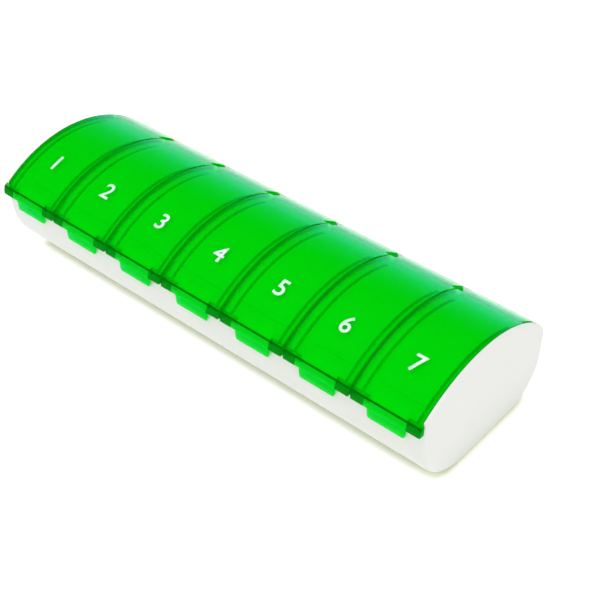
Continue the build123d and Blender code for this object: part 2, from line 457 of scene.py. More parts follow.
@dataclass(frozen=True)
class Form:
    """Sizes that tray and lids share, in metres, with the section's arcs worked out from them.

    Attributes:
        low: Lowest corner of the frame's box.
        high: Highest corner of the frame's box.
        centres: Middle of each well along X.
        hinge: Hinge line in the YZ section.
        crown_y: Where the lids are highest.
        crown_fall: Fall of the crown arc from there to the rear face.
        lid_thick: Thickness of the lid panels.
        seat_gap: From the lids down to the dividers.
        wall: Thickness of the tray's walls.
        divider: Thickness between wells.
        front_setback: From the edge of the lid skirts back to the front wall.
        ledge_drop: From the crown down to the ledge under the lid corners.
        ledge_gap: From the skirts down to that ledge.
        tab_drop: From the crown down to the lip of the tabs.
        skirt_gap: Between the skirts and the wall behind them.
        rim_step: From the front wall back to the rim beside a catch land.
        land_wide: Width of a catch land.
        strip_wide: Width of the rear strip, along the crown arc.
        knuckle_r: Radius of a hinge knuckle.
        knuckle_gap: Between a knuckle and the dividers.
        hinge_back: From the rear strip forward to the hinge, along the crown arc.
        pin_r: Radius of a hinge pin.
        end_rim: Thickness of the rim on an end wall.
        end_gap: Between that rim and the outer lid's panel.
        free_a: Turn left free between a rounding and the next point of an arc, in degrees.
    """

    low: np.ndarray
    high: np.ndarray
    centres: np.ndarray
    hinge: np.ndarray
    crown_y: float = -1.8 * MM
    crown_fall: float = 12.0 * MM
    lid_thick: float = 1.2 * MM
    seat_gap: float = 0.15 * MM
    wall: float = 1.6 * MM
    divider: float = 2.6 * MM
    front_setback: float = 2.0 * MM
    ledge_drop: float = 10.4 * MM
    ledge_gap: float = 0.2 * MM
    tab_drop: float = 13.8 * MM
    skirt_gap: float = 0.3 * MM
    rim_step: float = 0.7 * MM
    land_wide: float = 9.8 * MM
    strip_wide: float = 3.9 * MM
    knuckle_r: float = 2.3 * MM
    knuckle_gap: float = 0.2 * MM
    hinge_back: float = 3.2 * MM
    pin_r: float = 0.5 * MM
    end_rim: float = 0.7 * MM
    end_gap: float = 0.2 * MM
    free_a: float = 0.3

    @property
    def pitch(self) -> float:
        """Distance from well to well."""
        return float(self.centres[1] - self.centres[0])

    @property
    def seat_end(self) -> float:
        """Inner face of the rim on an end wall."""
        return float(self.high[0]) - self.end_rim

    @property
    def front(self) -> float:
        """Edge of the lid skirts."""
        return float(self.low[1])

    @property
    def rear(self) -> float:
        """Outer face of the rear wall."""
        return float(self.high[1])

    @property
    def height(self) -> float:
        """Crown of the lids above the rest face."""
        return float(self.high[2] - self.low[2])

    @property
    def wall_y(self) -> float:
        """Outer face of the front wall."""
        return self.front + self.front_setback

    @property
    def ledge_z(self) -> float:
        """Ledge under the lid corners."""
        return self.height - self.ledge_drop

    @property
    def skirt_z(self) -> float:
        """Lower edge of the lid skirts."""
        return self.ledge_z + self.ledge_gap

    @property
    def tab_z(self) -> float:
        """Lip of the lid tabs, where the front belly begins."""
        return self.height - self.tab_drop

    @property
    def crown_r(self) -> float:
        """Outer radius of the lids, from the fall of the arc between crown and rear corner."""
        reach = self.rear - self.crown_y
        return (reach**2 + self.crown_fall**2) / (2 * self.crown_fall)

    @property
    def middle(self) -> np.ndarray:
        """Centre of the crown arc in the section."""
        return np.array([self.crown_y, self.height - self.crown_r])

    @property
    def under_r(self) -> float:
        """Inner radius of the lids."""
        return self.crown_r - self.lid_thick

    @property
    def seat_r(self) -> float:
        """Radius of the dividers' tops, under the lids."""
        return self.under_r - self.seat_gap

    @property
    def strip_a(self) -> float:
        """Angle of the rear strip's front edge about the arc's centre, in degrees."""
        corner_a = np.arctan2(self.crown_r - self.crown_fall, self.rear - self.crown_y)
        return float(np.degrees(corner_a + self.strip_wide / self.crown_r))

    @property
    def hinge_a(self) -> float:
        """Angle of the hinge about the arc's centre, in degrees."""
        return self.strip_a + float(np.degrees(self.hinge_back / self.crown_r))

    @property
    def well_wide(self) -> float:
        """Clear width of a well."""
        return self.pitch - self.divider

    @property
    def knuckle_long(self) -> float:
        """Length of a hinge knuckle."""
        return self.well_wide - 2 * self.knuckle_gap

    def ring(self, radius: float, angle: float) -> np.ndarray:
        """Section point at a radius and an angle in degrees about the arc's centre."""
        turn = np.radians(angle)
        return self.middle + radius * np.array([np.cos(turn), np.sin(turn)])

    def crown(self, radius: float, start: float, end: float, step: float = 1.0) -> Points:
        """Arc about the crown's centre."""
        return arc(self.middle, radius, start, end, step)

    def angle_at(self, y: float, radius: float) -> float:
        """Angle about the arc's centre where the arc of that radius is at y, in degrees."""
        return float(np.degrees(np.arccos((y - self.middle[0]) / radius)))

    def height_at(self, y: float, radius: float) -> float:
        """Height of the arc of that radius at y."""
        return float(self.middle[1] + np.sqrt(radius**2 - (y - self.middle[0]) ** 2))

    @classmethod
    def from_frame(cls, frame: dict) -> "Form":
        """Read the box, the wells and the hinge line from the frame.


        Returns:
            The shared sizes.
        """
        low, high = (np.array(c, float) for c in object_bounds())
        pivots = np.array([joint["pos_m"] for joint in frame["joints"]], float)
        return cls(low, high, np.sort(pivots[:, 0]), pivots[0, 1:])


class Nodes:
    """Small helper that adds shader nodes to a material or the world and links them."""

    def __init__(self, owner: bpy.types.Material | bpy.types.World, output: str) -> None:
        """Start an empty node tree.

        Args:
            owner: The material or world.
            output: Type of its output node, without the ShaderNode prefix.
        """
        owner.use_nodes = True
        self.owner = owner
        self.tree = owner.node_tree
        self.tree.nodes.clear()
        self.output = self.add(output)

    @classmethod
    def of_finish(cls, name: str) -> "Nodes":
        """Start a new material."""
        return cls(bpy.data.materials.new(name), "OutputMaterial")

    def put(self, socket: Socket, value: Any) -> None:
        """Link another socket to an input, or set the input to a value.

        Args:
            socket: The input.
            value: A socket, number or vector.
        """
        if isinstance(value, Socket):
            self.tree.links.new(value, socket)
        else:
            socket.default_value = value

    def add(self, kind: str, **values: Any) -> bpy.types.Node:
        """Add a node and set its properties and inputs.

        Args:
            kind: Node type, without its ShaderNode prefix.
            values: Properties by name, or inputs by name with spaces as underscores.

        Returns:
            The node.
        """
        node = self.tree.nodes.new("ShaderNode" + kind)
        for key, value in values.items():
            if hasattr(node, key):
                setattr(node, key, value)
            else:
                self.put(node.inputs[key.replace("_", " ")], value)
        return node

    def math(self, figure: Figure, first: float | Socket, second: float | Socket) -> Socket:
        """Work out a number from two.

        Args:
            figure: What is worked out.
            first: First value.
            second: Second value.

        Returns:
            The number's socket.
        """
        node = self.add("Math", operation=figure.value)
        self.put(node.inputs[0], first)
        self.put(node.inputs[1], second)
        return node.outputs[0]

    def ramp(
        self, source: Socket, low: float, high: float, first: float = 0.0, last: float = 1.0
    ) -> Socket:
        """Map a value evenly to another range.

        Args:
            source: The value.
            low: Result at first.
            high: Result at last.
            first: Where the ramp starts.
            last: Where it ends.

        Returns:
            The result's socket.
        """
        node = self.add("MapRange", Value=source, From_Min=first, From_Max=last, To_Min=low, To_Max=high)
        return node.outputs["Result"]

    def chosen(self, fac: Socket, first: float | Socket, second: float | Socket) -> Socket:
        """Choose between two numbers.

        Args:
            fac: 0 for the first and 1 for the second.
            first: First value.
            second: Second value.

        Returns:
            The number's socket.
        """
        node = self.add("Mix")
        # Inputs 0, 2 and 3 of this node are its factor and its two numbers
        for place, value in ((0, fac), (2, first), (3, second)):
            self.put(node.inputs[place], value)
        return node.outputs[0]

    def noise(self, scale: float, detail: float) -> Socket:
        """Noise on Object coordinates.

        Args:
            scale: Waves per metre.
            detail: Finer waves on top.

        Returns:
            The value's socket.
        """
        place = self.add("TexCoord").outputs["Object"]
        return self.add("TexNoise", Scale=scale, Detail=detail, Vector=place).outputs["Fac"]

    def between(self, fac: Socket, first: Any, second: Sequence[float]) -> Socket:
        """Blend two colours.

        Args:
            fac: 0 for the first and 1 for the second.
            first: A colour or a socket.
            second: A colour.

        Returns:
            The colour's socket.
        """
        node = self.add("Mix", data_type="RGBA", Factor=fac)
        # Inputs 6 and 7 of this node are its two colours, and output 2 is their blend
        self.put(node.inputs[6], first if isinstance(first, Socket) else (*first, 1))
        self.put(node.inputs[7], (*second, 1))
        return node.outputs[2]

    def mixed(self, fac: float | Socket, first: bpy.types.Node, second: bpy.types.Node) -> bpy.types.Node:
        """Mix two shaders.

        Args:
            fac: 0 for the first and 1 for the second.
            first: First shader.
            second: Second shader.

        Returns:
            The mix.
        """
        node = self.add("MixShader", Fac=fac)
        self.put(node.inputs[1], first.outputs[0])
        self.put(node.inputs[2], second.outputs[0])
        return node

    def bump(self, height: Socket, strength: float, distance: float) -> Socket:
        """Normal from a height, with the height's full distance in metres."""
        return self.add("Bump", Height=height, Strength=strength, Distance=distance).outputs["Normal"]

    def done(self, shader: bpy.types.Node) -> bpy.types.Material | bpy.types.World:
        """Send a shader to the output and give the material or world."""
        self.put(self.output.inputs["Surface"], shader.outputs[0])
        return self.owner


@dataclass(frozen=True)
class WhiteMoulding:
    """Opaque white plastic with a faint cloudiness and a fine moulded skin.

    Attributes:
        pale: Colour where the plastic is lightest.
        deep: Colour where it is a little denser.
        cloud: Waves per metre of the cloudiness.
        grain: Waves per metre of the skin's grain.
        smooth: Least roughness.
        rough: Greatest roughness.
        bump: Strength of the grain.
        bump_deep: Depth of the grain.
    """

    pale: tuple = (0.84, 0.845, 0.83)
    deep: tuple = (0.81, 0.815, 0.795)
    cloud: float = 55.0
    grain: float = 2600.0
    smooth: float = 0.30
    rough: float = 0.42
    bump: float = 0.12
    bump_deep: float = 0.02 * MM

    def material(self) -> bpy.types.Material:
        """Build the node material.

        Returns:
            The material.
        """
        nodes = Nodes.of_finish("white_moulding")
        cloud = nodes.noise(self.cloud, detail=3.0)
        grain = nodes.noise(self.grain, detail=2.0)
        shader = nodes.add(
            "BsdfPrincipled",
            Base_Color=nodes.between(cloud, self.pale, self.deep),
            Roughness=nodes.ramp(grain, self.smooth, self.rough),
            Normal=nodes.bump(grain, self.bump, self.bump_deep),
        )
        return nodes.done(shader)


@dataclass(frozen=True)
class ClearGreen:
    """Dyed plastic: a clear glossy skin over a milky inside, dye that deepens with the way through it, and
    painted shade on the fold, the corner blocks and the edges.

    Attributes:
        body: Colour that the plastic scatters.
        body_deep: The same where the colourant is denser.
        cloud: Waves per metre of the colourant.
        milk_skin: Share of light that the outer skin scatters.
        milk_inside: Share that the inner faces, ribs and edges scatter.
        through: Share of the scattered light that goes on to the far side.
        pass_tint: What a crossed face lets through.
        inside: Colour that the dye leaves.
        take_up: How fast the dye takes up light, per metre.
        bend: Index of refraction, for how much the skin mirrors.
        gloss: Least roughness of the skin.
        gloss_dull: Greatest roughness of the skin.
        wave: Waves per metre of the skin's faint unevenness.
        wave_bump: Strength of the unevenness.
        wave_deep: Its depth.
        mirror_tint: Colour of the gloss where the skin faces the eye.
        mirror_cool: Colour of the gloss on a slant.
        mirror_pale: Colour of the gloss at a glancing view.
        slant: Mirrored shares between which the gloss turns cool.
        glance: Mirrored shares between which it turns pale.
        deep: Colour of the painted shade on the corner blocks, the fold and the edges.
        deep_full: Painted-shade value from which the gloss is dulled most.
        deep_loss: Share of the gloss that is lost where shade is painted.
    """

    body: tuple = (0.0, 0.93, 0.006)
    body_deep: tuple = (0.0, 0.88, 0.006)
    cloud: float = 120.0
    milk_skin: float = 0.12
    milk_inside: float = 0.86
    through: float = 0.12
    pass_tint: tuple = (0.60, 1.0, 0.62)
    inside: tuple = (0.02, 0.955, 0.03)
    take_up: float = 700.0
    bend: float = 1.47
    gloss: float = 0.10
    gloss_dull: float = 0.16
    wave: float = 220.0
    wave_bump: float = 0.06
    wave_deep: float = 0.2 * MM
    mirror_tint: tuple = (0.05, 1.0, 0.32)
    mirror_cool: tuple = (0.10, 1.0, 0.95)
    mirror_pale: tuple = (0.80, 1.0, 0.97)
    slant: tuple = (0.06, 0.15)
    glance: tuple = (0.12, 0.42)
    deep: tuple = (0.0, 0.14, 0.0)
    deep_full: float = 0.2
    deep_loss: float = 0.7

    def material(self) -> bpy.types.Material:
        """Build the node material.

        The face attribute "skin" tells outer faces from inner ones, and "deep" how much shade is painted
        on a face.

        Returns:
            The material.
        """
        nodes = Nodes.of_finish("clear_green")
        cloud = nodes.noise(self.cloud, detail=2.0)
        normal = nodes.bump(nodes.noise(self.wave, detail=1.0), self.wave_bump, self.wave_deep)
        # Painted shade: the "deep" attribute darkens the colour, makes the face milky and dulls its gloss.
        thick = nodes.add("Attribute", attribute_name="deep").outputs["Fac"]
        skin = nodes.add("Attribute", attribute_name="skin").outputs["Fac"]

        colour = nodes.between(cloud, self.body, self.body_deep)
        colour = nodes.between(thick, colour, self.deep)
        back = nodes.add("BsdfDiffuse", Color=colour, Normal=normal)
        on = nodes.add("BsdfTranslucent", Color=colour, Normal=normal)
        scatter = nodes.mixed(self.through, back, on)
        clear = nodes.add("BsdfTransparent", Color=(*self.pass_tint, 1))
        milk = nodes.math(
            Figure.LARGER,
            nodes.ramp(skin, self.milk_inside, self.milk_skin),
            nodes.ramp(thick, 0.0, self.milk_inside),
        )
        body = nodes.mixed(milk, clear, scatter)

        mirrored = nodes.add("Fresnel", IOR=self.bend, Normal=normal).outputs[0]
        slant = nodes.ramp(mirrored, 0.0, 1.0, *self.slant)
        glance = nodes.ramp(mirrored, 0.0, 1.0, *self.glance)
        tint = nodes.between(slant, self.mirror_tint, self.mirror_cool)
        shine = nodes.add(
            "BsdfGlossy",
            Color=nodes.between(glance, tint, self.mirror_pale),
            Roughness=nodes.ramp(cloud, self.gloss, self.gloss_dull),
            Normal=normal,
        )
        # No gloss on inner faces, and less where shade is painted, so that the painted shade stays dark.
        dull = nodes.math(
            Figure.LARGER,
            nodes.add("NewGeometry").outputs["Backfacing"],
            nodes.ramp(thick, 0.0, self.deep_loss, 0.0, self.deep_full),
        )
        outside = nodes.math(Figure.PRODUCT, mirrored, nodes.ramp(dull, 1.0, 0.0))
        coated = nodes.mixed(outside, body, shine)

        dye = nodes.add("VolumeAbsorption", Density=self.take_up, Color=(*self.inside, 1))
        nodes.put(nodes.output.inputs["Volume"], dye.outputs[0])
        return nodes.done(coated)


@dataclass(frozen=True)
class DrawnSteel:
    """Bright drawn wire, with fine draw lines along X.

    Attributes:
        pale: Colour of the bright lines.
        dull: Colour of the dull lines.
        waves: Waves per metre of the lines along X, Y and Z.
        smooth: Roughness of the bright lines.
        rough: Roughness of the dull lines.
    """

    pale: tuple = (0.78, 0.78, 0.79)
    dull: tuple = (0.60, 0.61, 0.63)
    waves: tuple = (60.0, 9000.0, 9000.0)
    smooth: float = 0.18
    rough: float = 0.36

    def material(self) -> bpy.types.Material:
        """Build the node material.

        Returns:
            The material.
        """
        nodes = Nodes.of_finish("drawn_steel")
        place = nodes.add("TexCoord").outputs["Object"]
        drawn = nodes.add("Mapping", Vector=place, Scale=self.waves).outputs["Vector"]
        lines = nodes.add("TexNoise", Scale=1.0, Detail=2.0, Vector=drawn).outputs["Fac"]
        shader = nodes.add(
            "BsdfPrincipled",
            Base_Color=nodes.between(lines, self.pale, self.dull),
            Roughness=nodes.ramp(lines, self.smooth, self.rough),
            Metallic=1.0,
        )
        return nodes.done(shader)


@dataclass(frozen=True)
class PrintInk:
    """Pale screen-printed ink, slightly uneven and duller than the lid.

    Attributes:
        full: Colour where the ink covers well.
        thin: Colour where it is thin.
        waves: Waves per metre of its cover.
        smooth: Least roughness.
        rough: Greatest roughness.
        bump: Strength of its unevenness.
        bump_deep: Depth of its unevenness.
    """

    full: tuple = (0.86, 1.0, 0.93)
    thin: tuple = (0.66, 0.95, 0.82)
    waves: float = 1500.0
    smooth: float = 0.38
    rough: float = 0.55
    bump: float = 0.2
    bump_deep: float = 0.02 * MM

    def material(self) -> bpy.types.Material:
        """Build the node material.

        Returns:
            The material.
        """
        nodes = Nodes.of_finish("print_ink")
        cover = nodes.noise(self.waves, detail=3.0)
        shader = nodes.add(
            "BsdfPrincipled",
            Base_Color=nodes.between(cover, self.full, self.thin),
            Roughness=nodes.ramp(cover, self.smooth, self.rough),
            Normal=nodes.bump(cover, self.bump, self.bump_deep),
        )
        return nodes.done(shader)


@dataclass(frozen=True)
class StudioPaper:
    """White paper sweep that reads as white where it lies open, keeps the object's shadow and has a painted
    olive contact shadow close under the object.

    Attributes:
        colour: Paper as it lights the object.
        bare: Paper as it is seen where it lies open.
        shade: Painted shadow colour of the paper close under the object.
        lift: Added white where the paper lies open.
        near: How far away something may be to take away the added white, which paints a shadow there, in
            metres.
        shut: Openness, from 0 to 1, up to which no white is added.
        open: Openness from which all of it is added.
        rays: Rays that measure the openness.
    """

    colour: tuple = (0.90, 0.91, 0.86)
    bare: tuple = (0.92, 0.92, 0.91)
    shade: tuple = (0.80, 0.90, 0.60)
    lift: float = 0.48
    near: float = 4.0 * MM
    shut: float = 0.30
    open: float = 0.85
    rays: int = 8

    def material(self) -> bpy.types.Material:
        """Build the node material.

        Returns:
            The material.
        """
        nodes = Nodes.of_finish("studio_paper")
        path = nodes.add("LightPath").outputs
        seen = nodes.math(Figure.LARGER, path["Is Camera Ray"], path["Is Glossy Ray"])
        unseen = nodes.math(Figure.DIFFERENCE, 1.0, seen)
        # Painted contact shadow: ambient occlusion takes away the added white and tints the paper olive
        # close under the object, for camera and gloss rays.
        painted_shadow_ao = nodes.add("AmbientOcclusion", samples=self.rays, Distance=self.near)
        free = nodes.ramp(painted_shadow_ao.outputs["AO"], 0.0, 1.0, self.shut, self.open)
        shown = nodes.between(free, self.shade, self.bare)
        paper = nodes.add("BsdfDiffuse", Color=nodes.between(unseen, shown, self.colour))
        lift = nodes.math(Figure.PRODUCT, seen, nodes.ramp(free, 0.0, self.lift))
        glow = nodes.add("Emission", Strength=lift)
        both = nodes.add("AddShader")
        nodes.put(both.inputs[0], paper.outputs[0])
        nodes.put(both.inputs[1], glow.outputs[0])
        return nodes.done(both)


@dataclass
class Tray:
    """White tray with its row of wells, catch lands, corner notches and clip sockets.

    Attributes:
        form: Sizes shared with the lids.
        rear_belly: Radius of the rear belly.
        belly_step: Turn between the points of the front belly, in degrees.
        nose: Rounding of the rear top edge.
        nose_run: Turn along the crown to the point that gives the nose its run, in degrees.
        end_edge: Rounding round the end faces.
        well_edge: Rounding beside a well's floor.
        rings: Rings in both of these roundings.
        lip: Thickness of the rear strip over the wells.
        lip_clear: How far under the lip a well's rounding stops.
        land_reach: Depth of the notches between the catch lands, behind the rim.
        bead_r: Radius of the catch beads.
        bead_out: How far a bead stands out of its land.
        bead_edge: Rounding of a bead's ends.
        socket_deep: Depth of the pin sockets in the dividers.
        socket_gap: Clearance round a pin.
        socket_step: Turn between the points of a socket, in degrees.
        mouth: Width of a socket's mouth.
        mouth_high: From the pin to the end of the mouth's cut.
        over: How far cuts reach above the crown.
        past: How far they reach past the lid skirts.
        clear: How far they reach out of the crown arc.
        overlap: How far neighbouring cuts run into each other.
        piece: The finished object.
    """

    form: Form
    rear_belly: float = 12.0 * MM
    belly_step: float = 1.5
    nose: float = 4.0 * MM
    nose_run: float = 4.0
    end_edge: float = 1.0 * MM
    well_edge: float = 1.5 * MM
    rings: int = 6
    lip: float = 1.5 * MM
    lip_clear: float = 0.1 * MM
    land_reach: float = 3.0 * MM
    bead_r: float = 0.5 * MM
    bead_out: float = 0.2 * MM
    bead_edge: float = 0.15 * MM
    socket_deep: float = 0.9 * MM
    socket_gap: float = 0.05 * MM
    socket_step: float = 10.0
    mouth: float = 0.84 * MM
    mouth_high: float = 4.0 * MM
    over: float = 12.0 * MM
    past: float = 4.0 * MM
    clear: float = 6.0 * MM
    overlap: float = 0.5 * MM
    piece: bpy.types.Object | None = field(default=None, init=False)

    @property
    def above(self) -> float:
        """Height where cuts end."""
        return self.form.height + self.over

    @property
    def far(self) -> float:
        """Place in front of the object where cuts begin."""
        return self.form.front - self.past

    def belly(self, inset: float) -> Points:
        """Quarter circle of the front belly, then of the rear belly, with the flat floor between them.

        Args:
            inset: How far both are moved inwards.

        Returns:
            Points from front wall to rear wall.
        """
        form = self.form
        front = (form.wall_y + form.tab_z, form.tab_z)
        rear = (form.rear - self.rear_belly, self.rear_belly)
        first = arc(front, form.tab_z - inset, 180, 270, self.belly_step)
        last = arc(rear, self.rear_belly - inset, 270, 360)
        return np.concatenate([first, last])

    def blank(self) -> Moulding:
        """Outer shape: both bellies under the crown arc, nose rounded, carried from end to end.

        Returns:
            The closed surface.
        """
        form = self.form
        front_top = (form.wall_y, form.height_at(form.wall_y, form.crown_r))
        rear_top = (form.rear, form.height_at(form.rear, form.crown_r))
        start = form.angle_at(form.rear, form.crown_r)
        beside = form.ring(form.crown_r, start + self.nose_run)
        nose = corner((form.rear, self.rear_belly), rear_top, beside, self.nose)
        first = form.angle_at(nose[-1][0], form.crown_r) + form.free_a
        top = form.crown(form.crown_r, first, form.angle_at(form.wall_y, form.crown_r))
        section = outline(self.belly(0.0), nose, top, front_top)
        ends = (float(form.low[0]), float(form.high[0]))
        return Moulding.carried(section, *ends, self.end_edge, steps=self.rings)

    def seat(self) -> Moulding:
        """Cut over the seat arc that lowers everything in front of the rear strip.

        Returns:
            The closed surface of the cut.
        """
        form = self.form
        section = outline(
            form.crown(form.seat_r, form.strip_a, form.angle_at(self.far, form.seat_r)),
            (self.far, self.above),
            (form.rear, self.above),
            form.ring(form.crown_r + self.clear, form.strip_a),
        )
        return Moulding.carried(section, -form.seat_end, form.seat_end)

    def well(self) -> Moulding:
        """One well: the belly moved in by the wall, tucked in under the rear strip, lower edges rounded.

        Returns:
            The closed surface of the cut at x = 0.
        """
        form = self.form
        lip_r = form.crown_r - self.lip
        inner = form.rear - form.wall
        tuck = form.crown(lip_r, form.angle_at(inner, lip_r), form.strip_a)
        outside = form.ring(form.crown_r + self.clear, form.strip_a)
        front_top = (form.wall_y + form.wall, self.above)
        section = outline(self.belly(form.wall), tuck, outside, (outside[0], self.above), front_top)
        rounded = section[:, 1] < form.height_at(inner, lip_r) - self.lip_clear
        rounded |= section[:, 0] < form.wall_y + form.wall + SPARE
        half = form.well_wide / 2
        share = rounded.astype(float)
        return Moulding.carried(section, -half, half, self.well_edge, share=share, steps=self.rings)

    def clip(self) -> Moulding:
        """Pin socket: most of a circle about the hinge, with a narrower mouth out of the divider's top.

        Returns:
            The closed surface of the cut at x = 0, through both dividers beside a well.
        """
        form = self.form
        radius = form.pin_r + self.socket_gap
        out = np.radians(form.hinge_a)
        normal = np.array([np.cos(out), np.sin(out)])
        side = np.array([-normal[1], normal[0]]) * self.mouth / 2
        lean = float(np.degrees(np.arcsin(self.mouth / 2 / radius)))
        first, last = form.hinge_a + lean, form.hinge_a + 360 - lean
        round_part = arc(form.hinge, radius, first, last, self.socket_step)
        high = form.hinge + self.mouth_high * normal
        half = form.well_wide / 2 + self.socket_deep
        return Moulding.carried(outline(round_part, high - side, high + side), -half, half)

    def notches(self) -> list[Moulding]:
        """Upright boxes between the catch lands, and a shallower one along each end wall.

        Returns:
            The closed surfaces of the cuts.
        """
        form = self.form
        half = form.land_wide / 2
        ends = form.seat_end
        inside = float(form.centres[-1]) + form.well_wide / 2
        lands = np.repeat(form.centres, 2) + np.tile([-half, half], len(form.centres))
        edges = np.concatenate([[-inside], lands, [inside]])
        rim = form.wall_y + form.rim_step
        spans = [(start, end, rim + self.land_reach) for start, end in edges.reshape(-1, 2)]
        spans += [(-ends, self.overlap - inside, rim), (inside - self.overlap, ends, rim)]
        return [
            Moulding.carried(box((self.far, form.ledge_z), (deep, self.above)), start, end)
            for start, end, deep in spans
        ]

    def bead(self) -> Moulding:
        """Catch bead: a cylinder along X, most of it inside its land, with rounded ends.

        Returns:
            The closed surface at x = 0.
        """
        form = self.form
        bead_z = (form.skirt_z + form.height_at(form.wall_y, form.seat_r)) / 2
        bead_y = form.wall_y + self.bead_r - self.bead_out
        reach = form.land_wide / 2 - self.bead_r
        return Moulding.carried(circle((bead_y, bead_z), self.bead_r), -reach, reach, self.bead_edge)

    def build(self) -> bpy.types.Object:
        """Make the tray's mesh. The plain front is finished before the rounded wells are cut.

        Returns:
            The finished object.
        """
        centres = self.form.centres
        piece = self.blank().made("tray_moulding")
        work(piece, self.seat(), Join.CUT)
        for notch in self.notches():
            work(piece, notch, Join.CUT)
        work(piece, self.bead().repeated(centres), Join.ADD)
        work(piece, self.well().repeated(centres), Join.CUT)
        work(piece, self.clip().repeated(centres), Join.CUT)
        smoothed(piece.data)
        self.piece = piece
        return piece

    def dress(self, finish: WhiteMoulding) -> None:
        """Give the tray its finish and tie it to the frame.

        Args:
            finish: The white plastic.
        """
        coat(self.piece, finish.material())
        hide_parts("tray")
        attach(self.piece, "tray")


@dataclass(frozen=True)
class FaceLimits:
    """Limits that tell the faces of a lid apart, as lengths and as shares of a face's direction.

    Attributes:
        skin_deep: How far under the crown arc an outer face may lie.
        skin_rise: Least share away from the arc's centre of a face on the crown.
        fore_clear: How far in front of the tab's inner face an outer front face lies at least.
        fore: Least share forwards of a front face.
        fold_lean: Share upwards that parts the fold from the skirt under it.
        fold_reach: How far behind the skirt's lean the fold may reach.
        across: Least share along X of a side face.
        end_reach: How far behind the corner blocks their side faces may reach.
        rib_clear: How far outside the ribs a side face still belongs to them.
        rear_reach: How far in front of the rear notch the rear sides begin.
        rounding: Least share along X of a face on the rounded side edge.
        rounding_deep: How far under the crown arc that edge may lie.
    """

    skin_deep: float = 0.4 * MM
    skin_rise: float = 0.5
    fore_clear: float = 0.4 * MM
    fore: float = 0.4
    fold_lean: float = 0.36
    fold_reach: float = 0.3 * MM
    across: float = 0.9
    end_reach: float = 0.6 * MM
    rib_clear: float = 0.1 * MM
    rear_reach: float = 1.0 * MM
    rounding: float = 0.2
    rounding_deep: float = 0.25 * MM


